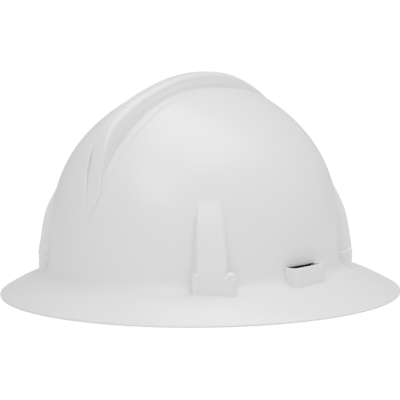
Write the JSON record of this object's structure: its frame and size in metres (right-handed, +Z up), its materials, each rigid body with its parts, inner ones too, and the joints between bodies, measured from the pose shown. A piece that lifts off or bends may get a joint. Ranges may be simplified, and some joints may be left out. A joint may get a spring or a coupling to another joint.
{
  "type": "full brim hard hat",
  "caption": "Full brim safety helmet: ridged white shell with accessory slots, crown straps, padded headband and a ratchet nape strap that adjusts to the head.",
  "frame": {"origin": "middle of the brim, on the flat surface that the brim stands on", "axes": "+Z up, the front of the hat faces -Y, the wearer's left side is +X"},
  "size_m": [0.278, 0.304, 0.1579],
  "materials": {
    "shell_plastic": "glossy white plastic",
    "strap_webbing": "woven webbing",
    "suspension_plastic": "satin moulded plastic",
    "band_plastic": "satin moulded plastic",
    "pad_fabric": "padded knit fabric",
    "grip_rubber": "soft matt rubber",
    "knob_plastic": "satin moulded plastic",
    "spring_steel": "bare spring steel",
    "screw_steel": "plated steel"
  },
  "bodies": {
    "hat": {"shell": "shell_plastic", "key_front_left": "suspension_plastic", "key_front_right": "suspension_plastic", "key_rear_left": "suspension_plastic", "key_rear_right": "suspension_plastic", "crown_strap_lower": "strap_webbing", "crown_strap_upper": "strap_webbing"},
    "band": {"headband": "band_plastic", "brow_pad": "pad_fabric", "pad_studs": "suspension_plastic", "pivot_pin_left": "suspension_plastic", "pivot_pin_right": "suspension_plastic"},
    "nape": {"nape_arm_left": "band_plastic", "nape_arm_right": "band_plastic"},
    "ratchet": {"ratchet_housing": "knob_plastic", "ratchet_cover": "knob_plastic", "nape_pad": "pad_fabric", "click_spring": "spring_steel", "housing_screws": "screw_steel"},
    "dial": {"knob": "knob_plastic", "knob_grip": "grip_rubber", "pinion": "suspension_plastic", "knob_screw": "screw_steel"}
  },
  "joints": [
    {"name": "headband_height", "type": "slide", "parent": "hat", "child": "band", "axis": [0, 0, 1], "range_m": [-0.006, 0.006]},
    {"name": "nape_tilt", "type": "hinge", "parent": "band", "child": "nape", "pos_m": [0, 0.008, 0.014], "axis": [1, 0, 0], "range_deg": [-14, 0]},
    {"name": "size_adjust", "type": "slide", "parent": "nape", "child": "ratchet", "axis": [0, 1, 0], "range_m": [-0.012, 0.003], "deforming": ["nape_arm_left", "nape_arm_right"]},
    {"name": "knob_turn", "type": "hinge", "parent": "ratchet", "child": "dial", "pos_m": [0, 0.094, 0.016], "axis": [0, 1, 0], "range_deg": [-153, 38.5]}
  ],
  "couplings": [
    {"joint": "knob_turn", "follows": "size_adjust", "rad_per_m": 222.22}
  ]
}
